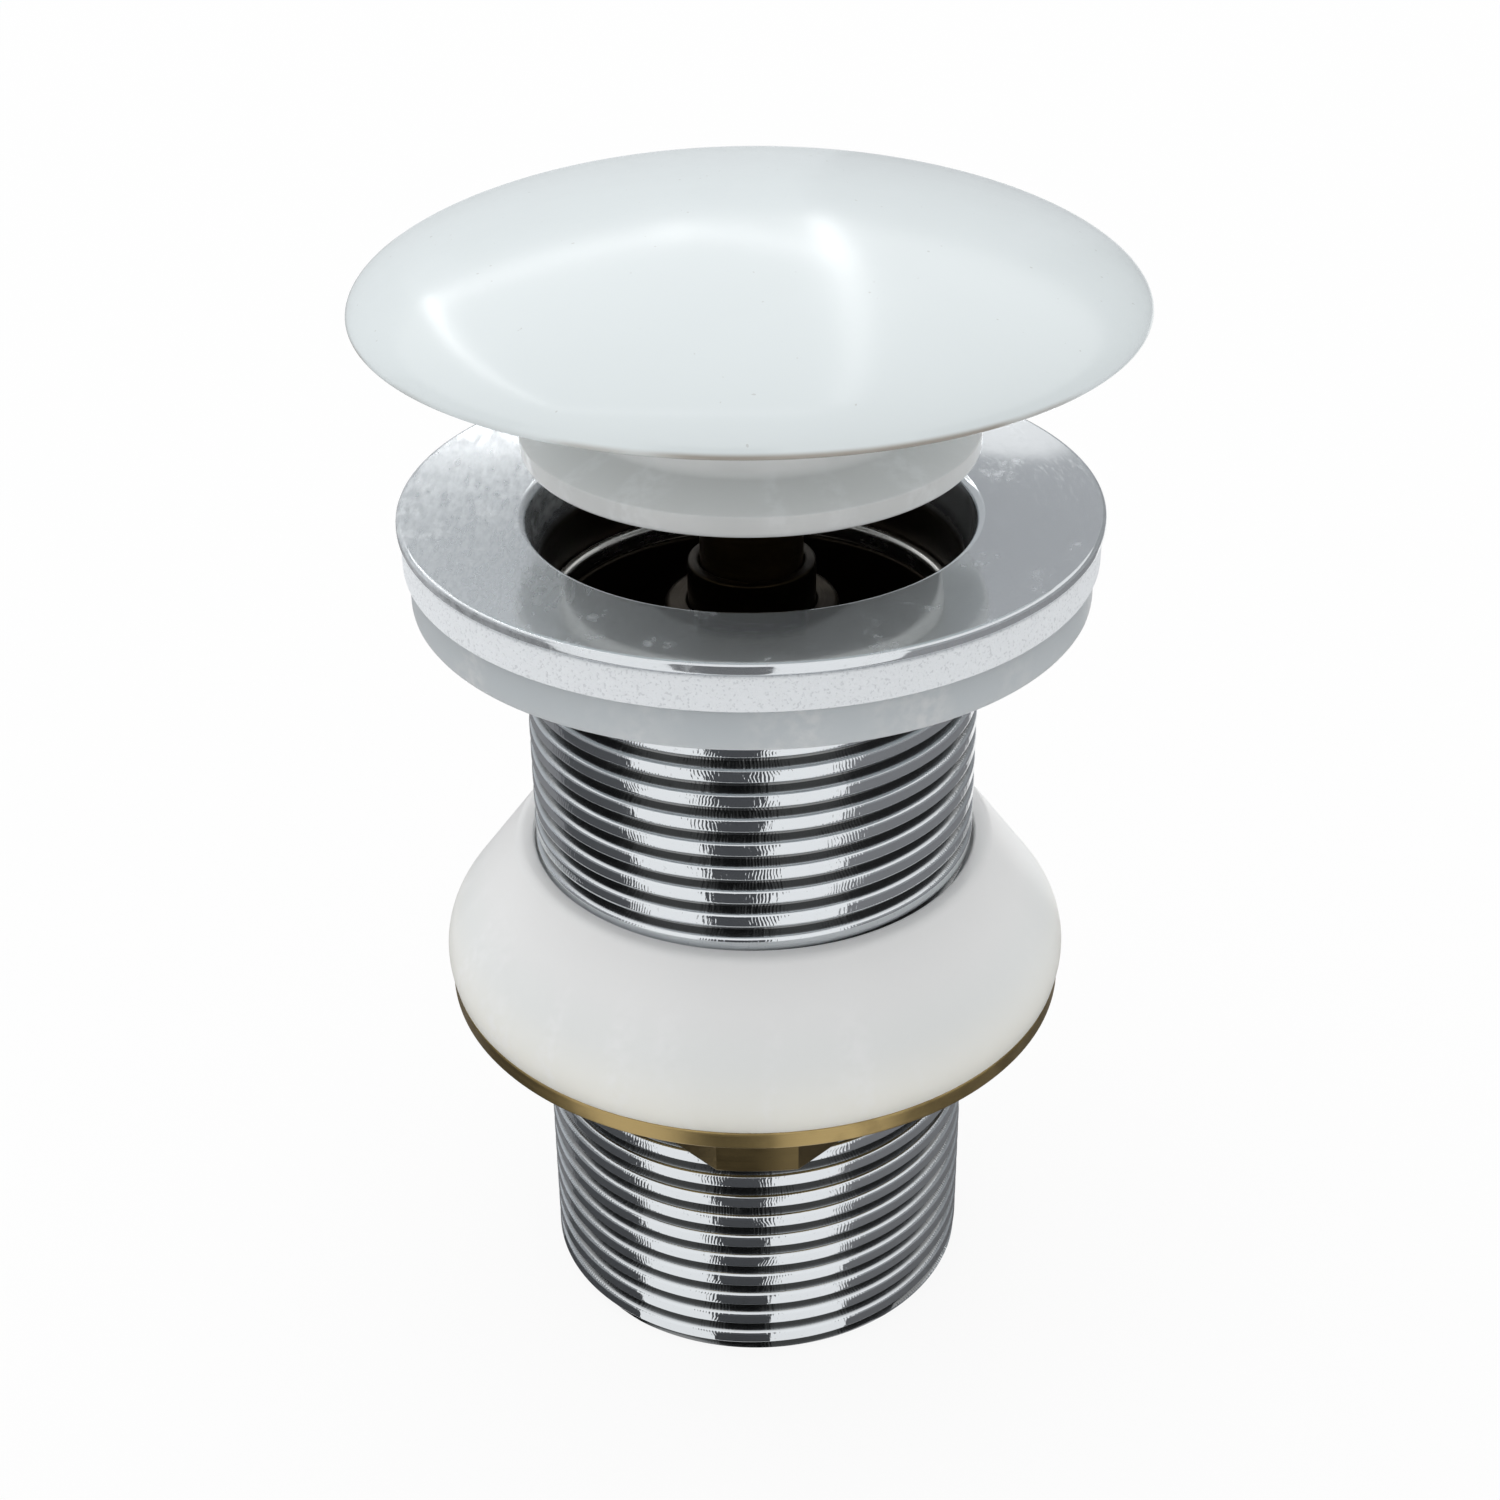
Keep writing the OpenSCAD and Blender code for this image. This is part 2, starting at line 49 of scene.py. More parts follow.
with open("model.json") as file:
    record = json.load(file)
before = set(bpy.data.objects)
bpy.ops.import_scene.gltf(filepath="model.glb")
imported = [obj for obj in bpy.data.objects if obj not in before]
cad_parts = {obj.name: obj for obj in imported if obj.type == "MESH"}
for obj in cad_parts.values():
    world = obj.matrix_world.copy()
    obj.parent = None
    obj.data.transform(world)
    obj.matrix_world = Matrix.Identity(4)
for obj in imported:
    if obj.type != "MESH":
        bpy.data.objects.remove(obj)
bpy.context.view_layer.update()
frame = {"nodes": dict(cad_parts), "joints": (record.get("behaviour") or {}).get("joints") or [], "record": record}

MOUNTS = {mount["name"]: mount for mount in frame["record"]["mounts"]}
# Radius of the tail over its thread's crests
THREAD_R = MOUNTS["tail_thread"]["dims"]["r_mm"] / 1000
# Faces round a large, a middle and a slim turned piece
LARGE_FACES = 192
MIDDLE_FACES = 144
SLIM_FACES = 96
# Points closer than this are one point
MERGE = 1e-6
# Edges that turn by more than this look sharp
SHARP = math.radians(35)


def length(name, default, description):
    """Property for a length in metres."""
    return bpy.props.FloatProperty(
        name=name, description=description, default=default, min=0, precision=5, unit="LENGTH")


def number(name, default, description):
    """Property for a plain number."""
    return bpy.props.FloatProperty(name=name, description=description, default=default, min=0)


def slope(name, default, description):
    """Property for an angle, with its default in degrees."""
    return bpy.props.FloatProperty(
        name=name, description=description, default=math.radians(default), subtype="ANGLE")


def colour(name, default, description):
    """Property for a linear colour."""
    return bpy.props.FloatVectorProperty(
        name=name, description=description, default=default, size=3, min=0, max=1, subtype="COLOR")


class WasteSizes(bpy.types.PropertyGroup):
    """Sizes of the pieces that the solids' boxes don't give"""

    pitch: length("Thread pitch", 0.0025, "Rise of the thread in one turn")
    groove_w: length("Groove width", 0.0015, "Width of the thread's groove at its crest")
    groove_depth: length("Groove depth", 0.001, "Depth of the thread's groove")
    flank_w: length("Flank width", 0.00065, "Width of each side of the groove")
    tail_wall: length("Tail wall", 0.00315, "Wall of the tail, from thread crest to bore")
    tail_chamfer: length("Tail chamfer", 0.0006, "Chamfer at the tail's end")
    flange_t: length("Flange thickness", 0.0011, "Thickness of the flange at its rim")
    flange_fall: slope("Flange fall", 9.46, "Fall of the flange's underside from its rim to the tail")
    dish_depth: length("Dish depth", 0.0011, "Depth of the flange's dish, from its rim to the lip")
    dish_curve: number("Dish curve", 1.3, "Exponent of the dish's curve, 1 is a cone")
    rim_round: length("Rim rounding", 0.0004, "Rounding of the flange's rim")
    mouth_r: length("Mouth radius", 0.0203, "Radius of the mouth under its lip")
    mouth_taper: length("Mouth taper", 0.005, "Depth in which the mouth narrows to the cup")
    lip_round: length("Mouth rounding", 0.0008, "Rounding of the mouth's lip")
    ledge_w: length("Ledge width", 0.0012, "Step between the cup under the mouth and the bore")
    ledge_depth: length("Ledge depth", 0.011, "Depth of the ledge under the flange")
    edge: length("Edge rounding", 0.0003, "Rounding of small turned edges")
    washer_play: length("Washer play", 0.00025, "Gap between the washers and the thread's crests")
    washer_round: length("Washer rounding", 0.0006, "Rounding of the flat washer's edge")
    gasket_play: length("Gasket play", 0.00015, "Gap between the gasket and the thread's crests")
    gasket_lip: length("Gasket lip", 0.0016, "Width of the lip at the gasket's top")
    lip_soft: length("Gasket lip rounding", 0.0011, "Rounding of the lip at the gasket's top")
    shoulder_h: length("Shoulder height", 0.0031, "Height of the gasket's shoulder above its base")
    shoulder_r: length("Shoulder radius", 0.030455, "Radius of the gasket at its shoulder's corner")
    shoulder_round: length("Shoulder rounding", 0.0046, "Rounding of the gasket's shoulder")
    nut_play: length("Nut play", 0.0001, "Gap between the back nut and the thread's crests")
    nut_rim_t: length("Nut rim", 0.0018, "Thickness of the back nut's round rim")
    nut_flat: length("Nut flat", 0.022555, "Distance from axis to flat of the back nut's square")
    nut_corner: length("Nut corner", 0.028405, "Radius of the turned corners of the back nut's square")
    hex_bevel: slope("Hexagon bevel", 25, "Slope of the bevel on the corners of hexagons")
    bevel_inset: length("Bevel inset", 0.00025, "Distance inside the flats at which a bevel starts")
    cap_dome: length("Dome height", 0.00885, "Height of the cap above its widest line")
    cap_curve: number("Dome curve", 1.7, "Exponent of the dome's curve, 2 is an ellipse")
    cap_soft: length("Dome softness", 0.0012, "Radius within which the dome's top is flattened")
    seal_edge: length("Seal edge", 0.002, "Thickness of the seal's lip at its edge")
    seal_rise: length("Seal rise", 0.0014, "Rise of the lip's upper side to the neck")
    seal_lip: length("Seal lip", 0.005, "Radial width of the seal's lip")
    seal_wall: length("Seal wall", 0.0029, "Wall of the seal's neck")
    carrier_wall: length("Carrier wall", 0.0028, "Wall of the seal carrier's hub")
    carrier_flange: length("Carrier flange", 0.0042, "Width of the seal carrier's flange")
    carrier_plate: length("Carrier plate", 0.003, "Thickness of the seal carrier's plate")
    ring_t: length("Bridge ring thickness", 0.002, "Thickness of the bridge's ring")
    ring_w: length("Bridge ring width", 0.00105, "Radial width of the bridge's ring")
    hub_wall: length("Hub wall", 0.00215, "Wall of the bridge's hub round the barrel")
    arm_w: length("Arm width", 0.005, "Width of the bridge's arms")
    arm_h: length("Arm height", 0.006, "Height of the bridge's arms at the hub")
    barrel_wall: length("Barrel wall", 0.0011, "Wall of the cartridge barrel")
    spring_wire: length("Spring wire", 0.0008, "Wire of the return spring")
    spring_turns: number("Spring turns", 8, "Turns of the return spring")


class WasteColours(bpy.types.PropertyGroup):
    """Colours of the finishes"""

    chrome: colour("Chrome", (0.735, 0.765, 0.79), "Polished plate of flange and tail")
    speck: colour("Chrome speck", (0.5, 0.52, 0.54), "Fine dull specks in the plate")
    # Painted shade: the thread's groove is darkened in colour, standing in for the shade in the recess
    groove: colour("Groove", (0.1, 0.1, 0.097), "Dull plate in the thread's groove")
    # Painted shade: near black, standing in for the shade inside the deep mouth and bore
    bore: colour("Bore", (0.05, 0.04, 0.03), "Unplated metal inside the mouth and bore")
    glaze: colour("Glaze", (0.785, 0.845, 0.86), "Satin glaze of the ceramic cap")
    pinhole: colour("Pinhole", (0.45, 0.45, 0.43), "Pinholes in the glaze")
    # Partly painted shade: darkens the foot of the cap's rim where shade falls, as well as the bare unglazed line
    bisque_and_rim_shade: colour("Bisque", (0.36, 0.33, 0.29), "Unglazed edge under the cap")
    silicone: colour("Silicone", (0.97, 0.975, 0.96), "Half clear silicone of the plug's seal")
    rubber: colour("Rubber", (0.89, 0.91, 0.9), "Milky rubber of gasket and flat washer")
    # Painted light: a yellowish glow, as of light from the brass nut, low on the gasket
    rubber_nut_glow: colour("Warm rubber", (0.925, 0.91, 0.82), "Gasket near the brass nut")
    # Painted light: lighter top lip, against the shade that the thread and flange cast on it
    rubber_lip_light: colour("Gasket lip", (0.98, 0.985, 0.98), "Thin lip at the gasket's top")
    rubber_grey: colour("Grey rubber", (0.69, 0.74, 0.77), "Clear rubber of the flat washer")
    # Partly painted highlight: lighter streaks for frosting and also for the sheen of lights in the rubber
    frost_and_sheen: colour("Frost", (0.97, 0.98, 0.98), "Frosted streaks on rubber and silicone")
    foam: colour("Foam", (0.84, 0.87, 0.9), "White foam of the washer")
    foam_shade: colour("Foam shade", (0.74, 0.76, 0.78), "Shaded lumps of the foam")
    # Painted shade: the colour of the shade inside the foam's open cells
    foam_pore_shade: colour("Foam pore", (0.5, 0.52, 0.55), "Open pores of the foam")
    brass: colour("Brass", (0.4, 0.295, 0.13), "Turned brass of the back nut")
    # Painted shade: the plunger's brass is made dark, standing in for the shade inside the deep mouth
    brass_in_mouth_shade: colour("Dark brass", (0.06, 0.042, 0.02), "Tarnished brass of the plunger")
    # Painted shade: the cartridge's brass is made nearly black, standing in for the shade deep in the mouth
    brass_deep_shade: colour("Black brass", (0.022, 0.016, 0.009), "Blackened brass of the cartridge")
    ring: colour("Bridge ring", (0.72, 0.71, 0.68), "Plated ring of the bridge")
    steel: colour("Steel", (0.58, 0.59, 0.60), "Drawn steel of spring, pin and clip")
    plastic: colour("Plastic", (0.82, 0.82, 0.79), "Moulded plastic of drum and carrier")
    o_ring: colour("O-ring", (0.03, 0.03, 0.03), "Black rubber of the O-ring")


class StageSettings(bpy.types.PropertyGroup):
    """Camera, floor, cards and lamps"""

    camera_back: length("Camera distance", 0.19435, "Distance of the camera in front of the axis")
    camera_side: length("Camera offset", 0.00031, "Distance of the camera to the left of the axis")
    camera_up: length("Camera height", 0.17233, "Height of the camera above the floor")
    camera_pitch: slope("Camera pitch", 30.64, "Angle by which the camera looks down")
    camera_roll: slope("Camera roll", -0.56, "Roll of the camera about its line of sight")
    camera_lens: number("Camera lens", 57.17, "Focal length in millimetres on a 36 mm sensor")
    camera_near: length("Camera near limit", 0.01, "Closest distance that the camera shows")
    floor_side: length("Floor side", 20, "Side of the square floor")
    floor: colour("Floor", (0.9, 0.9, 0.9), "Pale floor")
    floor_glow: number("Floor glow", 0.9, "Share of plain white in the floor as it is seen")
    card_dark: colour("Dark card", (0.05, 0.052, 0.058), "Dark cards, for mirrored rays only")
    card_grey: colour("Grey card", (0.2, 0.2, 0.21), "Grey cards, for mirrored rays only")
    card_wall: colour("Wall card", (0.31, 0.32, 0.33), "Upright cards, for mirrored rays only")
    card_half: colour("Half pale card", (0.45, 0.46, 0.48), "Upright card between wall and pale cards")
    card_pale: colour("Pale card", (0.6, 0.62, 0.64), "Paler upright cards behind, to the left")
    card_reach: length("Card reach", 0.5, "Distance to which the cards on the floor reach")
    card_lift: length("Card lift", 0.0002, "Height of the cards above the floor")
    card_rise: length("Card rise", 0.35, "Height of the upright cards")
    light_front: number("Front light", 0.76, "Strength of the room's light from the front")
    light_back: number("Back light", 1.16, "Strength of the room's light from behind")
    ceiling: length("Ceiling", 1.0, "Height of the lamps above the cap")
    strip_w: length("Strip width", 0.03, "Width of the strip lamps")
    strip_power: number("Strip power", 0.3, "Power of each metre of strip lamp, in watts")


class Value:
    """A number socket of a shader. Sums of values add Math nodes."""

    def __init__(self, tree, socket):
        self.tree = tree
        self.socket = socket

    def math(self, operation, *terms):
        """Adds a Math node with the terms as its inputs."""
        node = self.tree.nodes.new("ShaderNodeMath")
        node.operation = operation
        for socket, term in zip(node.inputs, terms):
            feed(self.tree, socket, term)
        return Value(self.tree, node.outputs[0])

    def __add__(self, other):
        return self.math("ADD", self, other)

    __radd__ = __add__

    def __sub__(self, other):
        return self.math("SUBTRACT", self, other)

    def __rsub__(self, other):
        return self.math("SUBTRACT", other, self)

    def __mul__(self, other):
        return self.math("MULTIPLY", self, other)

    __rmul__ = __mul__

    def __pow__(self, other):
        return self.math("POWER", self, other)

    def sine(self):
        return self.math("SINE", self)

    def greatest(self, other):
        return self.math("MAXIMUM", self, other)


def feed(tree, socket, term):
    """Links a value to a socket, or sets the socket to a plain number, vector or colour."""
    if isinstance(term, Value):
        tree.links.new(term.socket, socket)
    elif socket.type == "RGBA":
        socket.default_value = (*term[:3], 1)
    else:
        socket.default_value = term


class Shader:
    """Node tree of a material or of the world, under construction."""

    def __init__(self, owner):
        owner.use_nodes = True
        self.owner = owner
        self.tree = owner.node_tree

    def node(self, kind, settings=None, inputs=None, output=0):
        """Adds a node, sets it up, feeds its sockets and gives one of its outputs."""
        node = self.tree.nodes.new(kind)
        for name, setting in (settings or {}).items():
            setattr(node, name, setting)
        for name, term in (inputs or {}).items():
            feed(self.tree, node.inputs[name], term)
        return Value(self.tree, node.outputs[output])

    def split(self, vector):
        """The three numbers of a vector."""
        return [self.node("ShaderNodeSeparateXYZ", None, {0: vector}, i) for i in range(3)]

    def fade(self, value, low, high):
        """Mask that rises smoothly from 0 at low to 1 at high, or falls if low is above high."""
        if low > high:
            return 1 - self.fade(value, high, low)
        return self.node("ShaderNodeMapRange", {"interpolation_type": "SMOOTHSTEP"},
                         {"Value": value, "From Min": low, "From Max": high})

    def grain(self, vector, scale, detail=3, output="Fac"):
        """Noise with features of about one over the scale, in metres."""
        return self.node("ShaderNodeTexNoise", None,
                         {"Vector": vector, "Scale": scale, "Detail": detail}, output)

    def stretch(self, vector, scale):
        """The vector with its three numbers scaled apart."""
        return self.node("ShaderNodeVectorMath", {"operation": "MULTIPLY"}, {0: vector, 1: scale})

    def blend(self, mask, first, second):
        """Colour that goes from the first to the second with the mask."""
        return self.node("ShaderNodeMix", {"data_type": "RGBA"}, {0: mask, 6: first, 7: second}, 2)

    def relief(self, height, distance, strength=1.0):
        """Normal of a surface with that relief, in metres."""
        return self.node("ShaderNodeBump", None,
                         {"Height": height, "Distance": distance, "Strength": strength}, "Normal")


class Finish(Shader):
    """A material with a Principled shader and the coordinates of the turned pieces."""

    def __init__(self, name):
        super().__init__(bpy.data.materials.new(name))
        self.place = self.node("ShaderNodeTexCoord", None, None, "Object")
        self.x, self.y, self.z = self.split(self.place)
        self.radius = (self.x * self.x + self.y * self.y) ** 0.5

    def round_axis(self):
        """Angle, radius and height as a vector, for marks that run round or along the axis."""
        angle = self.node("ShaderNodeMath", {"operation": "ARCTAN2"}, {0: self.y, 1: self.x})
        return self.node("ShaderNodeCombineXYZ", None, {0: angle, 1: self.radius, 2: self.z})

    def surface(self, **sockets):
        """Feeds the Principled shader's sockets, named with underscores, and gives the material."""
        shader = self.tree.nodes["Principled BSDF"]
        for name, term in sockets.items():
            feed(self.tree, shader.inputs[name.replace("_", " ").title().replace("Ior", "IOR")], term)
        return self.owner


def colours():
    """Colours of the finishes, as the scene has them."""
    return bpy.context.scene.waste_colours


def shaded(tone, share):
    """The colour with that share of its light."""
    return [min(1, share * c) for c in tone]


def chrome_plate():
    """Polished chrome with smudges on the flange, tool chatter on the thread, painted shade in groove and bore."""
    f = Finish("chrome_plate")
    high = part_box("waste_body")[1]
    around = f.round_axis()
    # Inside the mouth's lip the colour is painted shade of the deep mouth and bore; the thread starts under the
    # flange
    inside = f.fade(f.radius, THREAD_R - 0.0016, THREAD_R - 0.0019)
    on_thread = f.fade(f.z, high.z - 0.004, high.z - 0.006) * (1 - inside)
    on_flange = (1 - on_thread) * (1 - inside)
    # Film of fine scratches and scuffs on the flange, thickest to the left
    worn = f.fade(f.x - 0.5 * f.y, 0.016, -0.034)
    scratches = f.fade(f.grain(f.stretch(f.place, (1500, 420, 1500)), 1, 5), 0.3, 0.7)
    scuffs = f.fade(f.grain(f.place, 260, 6), 0.56, 0.7)
    film = on_flange * (0.15 + worn * (0.3 + 0.7 * scratches) + 0.8 * scuffs * scratches)
    rub = f.fade(f.grain(f.stretch(around, (6, 900, 900)), 4, 4), 0.5, 0.75)
    specks = f.fade(f.grain(f.place, 2600, 2), 0.66, 0.74)
    # Painted shade: the thread's groove is darkened towards its root, standing in for the shade in the recess
    groove = on_thread * f.fade(f.radius, THREAD_R - 0.0001, THREAD_R - 0.0005)
    plate = f.blend(specks * 0.35, colours().chrome, colours().speck)
    plate = f.blend(groove * 0.82, plate, colours().groove)
    # Chatter of the thread's tool, which comes and goes along the turns
    angle = f.split(around)[0]
    drift = f.grain(f.stretch(around, (3, 0, 420)), 1, 2)
    chatter = (angle * 430 + drift * 40).sine() * f.fade(drift, 0.38, 0.6)
    waves = f.grain(f.stretch(around, (62, 300, 700)), 1, 2)
    return f.surface(
        # Painted shade: inside the mouth the colour goes near black
        base_color=f.blend(inside, plate, colours().bore),
        metallic=1 - 0.1 * on_flange - 0.4 * film,
        roughness=0.045 + 0.12 * film + 0.06 * rub + 0.05 * specks + 0.12 * groove + 0.4 * inside,
        normal=f.relief((0.4 * chatter + 2.2 * waves) * on_thread, 0.00001))


def satin_glaze():
    """Cool white glaze with faint clouding, pinholes, orange peel and a dark line at its edge, part bare, part
    painted shade.
    """
    f = Finish("satin_glaze")
    cloud = f.grain(f.place, 90, 4)
    pinhole = f.fade(f.grain(f.place, 1500, 1), 0.77, 0.8)
    peel = f.grain(f.place, 900, 2)
    foot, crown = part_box("ceramic_cap")
    # Dark line round the foot, here and there: part bare unglazed body, part painted shade under the rim
    edge = f.fade(f.z, foot.z + 0.0009, foot.z + 0.0004)
    edge = edge * f.fade(f.radius, crown.x - 0.0018, crown.x - 0.0012)
    edge = edge * f.fade(f.grain(f.place, 45, 2), 0.36, 0.52)
    tone = f.blend(cloud, shaded(colours().glaze, 0.97), colours().glaze)
    tone = f.blend(edge, tone, colours().bisque_and_rim_shade)
    return f.surface(
        base_color=f.blend(pinhole * 0.4, tone, colours().pinhole),
        roughness=0.15 + 0.05 * cloud,
        specular_ior_level=0.55,
        normal=f.relief(peel, 0.00002, 0.25))


def half_clear(name, base, clear, softness, nut_glow=None, lip_shade_from=None):
    """Half clear rubber with frosted streaks, partly painted sheen; if asked, painted light from the nut below and
    on the lip, and painted shade outside a radius.
    """
    f = Finish(name)
    inverse = f.radius ** -1
    bearing = f.node("ShaderNodeCombineXYZ", None, {0: f.x * inverse, 1: f.y * inverse, 2: 9 * f.z})
    # Lighter vertical streaks: frosting, and in part a painted sheen of the lights
    frost_and_sheen = f.fade(f.grain(bearing, 5, 2), 0.46, 0.72) * f.fade(f.grain(f.place, 900, 4), 0.3, 0.7)
    mist = f.grain(f.place, 60, 3)
    tone = f.blend(mist * 0.5, base, shaded(base, 0.94))
    if nut_glow is not None:
        low, high = (corner.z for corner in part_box("cone_gasket"))
        # Painted light: yellowish glow from the brass nut, fading up to half the gasket's height
        tone = f.blend(f.fade(f.z, low + 0.5 * (high - low), low), tone, nut_glow)
        # Painted light: the lip at the top is made lighter against the shade of the thread and flange over it
        tone = f.blend(f.fade(f.z, low + 0.4 * (high - low), high), tone, colours().rubber_lip_light)
    # Painted shade: the seal's lip outside the neck is darker, as shade under the cap
    if lip_shade_from is not None:
        thin = f.fade(f.radius, lip_shade_from, lip_shade_from + 0.0006)
        tone = f.blend(thin, tone, shaded(base, 0.82))
    return f.surface(
        base_color=f.blend(frost_and_sheen * 0.5, tone, colours().frost_and_sheen),
        roughness=softness + 0.06 * frost_and_sheen,
        transmission_weight=clear,
        ior=1.42,
        subsurface_weight=0.5,
        subsurface_radius=(0.006, 0.006, 0.006),
        subsurface_scale=1.0,
        normal=f.relief(f.grain(f.place, 1400, 3), 0.00002, 0.4))


def white_foam():
    """Fine closed-cell foam, with painted shade in the open cells on its cut edge."""
    f = Finish("white_foam")
    cells = f.grain(f.place, 3600, 3)
    # Painted shade: the open cells are darkened, as shade in these recesses
    pore_shade = f.fade(cells, 0.44, 0.34)
    lumps = f.grain(f.place, 700, 3)
    tone = f.blend(lumps * 0.3, colours().foam, colours().foam_shade)
    return f.surface(
        base_color=f.blend(pore_shade * 0.45, tone, colours().foam_pore_shade),
        roughness=0.85,
        subsurface_weight=0.1,
        subsurface_radius=(0.001, 0.001, 0.001),
        subsurface_scale=1.0,
        normal=f.relief(cells + lumps, 0.00018, 0.8))


def turned_brass(name, base, dark_reflection_below=None, plated_from=None):
    """Brass with lathe lines and tarnish, painted dark below a height as a dark reflection, and plated outside a
    radius, if asked.
    """
    f = Finish(name)
    lines = f.grain(f.stretch(f.round_axis(), (0.6, 5200, 5200)), 1, 3)
    stain = f.fade(f.grain(f.place, 220, 5), 0.42, 0.7)
    metal = f.blend(lines * 0.5, base, shaded(base, 1.5))
    metal = f.blend(stain * 0.6, metal, shaded(base, 0.5))
    rough = 0.26 + 0.16 * lines + 0.14 * stain
    if dark_reflection_below is not None:
        # Painted dark reflection: below the height the brass is made far darker
        dull = f.fade(f.z, dark_reflection_below + 0.0001, dark_reflection_below - 0.0002)
        metal = f.blend(dull, metal, shaded(base, 0.4))
    if plated_from is not None:
        plated = f.fade(f.radius, plated_from - 0.0002, plated_from)
        metal = f.blend(plated, metal, colours().ring)
        rough = rough - 0.1 * plated
    return f.surface(
        base_color=metal,
        metallic=1.0,
        roughness=rough,
        normal=f.relief(lines, 0.00005, 0.5))


def drawn_steel():
    """Steel wire and sheet with drawing marks."""
    f = Finish("drawn_steel")
    marks = f.grain(f.stretch(f.round_axis(), (2, 4000, 4000)), 1, 3)
    return f.surface(
        base_color=f.blend(marks * 0.5, colours().steel, shaded(colours().steel, 0.7)),
        metallic=1.0,
        roughness=0.22 + 0.16 * marks,
        normal=f.relief(marks, 0.00002, 0.3))


def moulded(name, base, softness):
    """Moulded plastic or rubber with a fine eroded texture."""
    f = Finish(name)
    texture = f.grain(f.place, 1800, 3)
    return f.surface(
        base_color=f.blend(f.grain(f.place, 120, 3) * 0.4, base, shaded(base, 0.85)),
        roughness=softness + 0.12 * texture,
        normal=f.relief(texture, 0.00003, 0.5))


def smooth(x):
    """Rises smoothly from 0 to 1 as x does."""
    x = min(max(x, 0), 1)
    return x * x * (3 - 2 * x)


def rounded(corners, steps=4):
    """Closed outline through corners of (radius, height, rounding), with an arc at each rounded one."""
    points = []
    for i, (r, z, rounding) in enumerate(corners):
        corner = Vector((r, z))
        if rounding == 0:
            points.append(corner)
            continue
        before = (Vector(corners[i - 1][:2]) - corner).normalized()
        after = (Vector(corners[(i + 1) % len(corners)][:2]) - corner).normalized()
        half = before.angle(after) / 2
        centre = corner + (before + after).normalized() * rounding / math.sin(half)
        start = corner + before * rounding / math.tan(half) - centre
        end = corner + after * rounding / math.tan(half) - centre
        points += [centre + rounding * start.slerp(end, k / steps) for k in range(steps + 1)]
    return points


def to_object(name, bm):
    """Closed object from a bmesh, smooth but for its sharp edges."""
    bmesh.ops.remove_doubles(bm, verts=bm.verts, dist=MERGE)
    bmesh.ops.recalc_face_normals(bm, faces=bm.faces)
    for face in bm.faces:
        face.smooth = True
    mesh = bpy.data.meshes.new(name)
    bm.to_mesh(mesh)
    bm.free()
    mesh.set_sharp_from_angle(angle=SHARP)
    obj = bpy.data.objects.new(name, mesh)
    bpy.context.scene.collection.objects.link(obj)
    weights = obj.modifiers.new("flat faces stay flat", "WEIGHTED_NORMAL")
    weights.keep_sharp = True
    return obj


def sweep(bm, outline_at, segments=MIDDLE_FACES):
    """Adds a solid swept round the axis, from its closed (radius, height) outline at each angle."""
    rows = []
    for step in range(segments + 1):
        angle = math.tau * step / segments
        c, s = math.cos(angle), math.sin(angle)
        rows.append([bm.verts.new((r * c, r * s, z)) for r, z in outline_at(angle)])
    outline = outline_at(0)
    on_axis = [r < MERGE for r, z in outline]
    for here, there in zip(rows, rows[1:]):
        for i in range(len(outline)):
            if not (on_axis[i - 1] and on_axis[i]):
                bm.faces.new((here[i - 1], there[i - 1], there[i], here[i]))


def swept(name, outline_at, segments=MIDDLE_FACES):
    """Object swept round the axis."""
    bm = bmesh.new()
    sweep(bm, outline_at, segments)
    return to_object(name, bm)


def turned(name, corners, segments=MIDDLE_FACES, steps=4):
    """Object of revolution with rounded corners."""
    outline = rounded(corners, steps)
    return swept(name, lambda angle: outline, segments)


def polygon_r(angle, flat, sides, crispness=90):
    """Radius, at an angle from one flat's middle, of a polygon with slightly rounded corners."""
    reach = [max(0, math.cos(angle - math.tau * k / sides)) ** crispness for k in range(sides)]
    return flat / sum(reach) ** (1 / crispness)


def hexagon_nut(s, name, flat, bore, low, high):
    """Hexagon nut with bevelled ends."""
    start = flat - s.bevel_inset

    def outline_at(angle):
        reach = polygon_r(angle, flat, 6)
        fall = (reach - start) * math.tan(s.hex_bevel)
        return rounded([
            (bore, low, s.edge / 2), (start, low, s.edge / 2), (reach, low + fall, s.edge / 2),
            (reach, high - fall, s.edge / 2), (start, high, s.edge / 2), (bore, high, s.edge / 2)])

    return swept(name, outline_at)


def settle(obj, node, finish):
    """Puts a piece in a node's place, on its body and in its finish."""
    record = frame["record"]
    bodies = record["behaviour"]["bodies"]
    obj.data.materials.append(finish)
    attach(obj, next(body for body, nodes in bodies.items() if node in nodes))
    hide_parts(node)


def dress(node, finish):
    """Gives a node that keeps its own solid a finish."""
    materials = frame["nodes"][node].data.materials
    materials.clear()
    materials.append(finish)


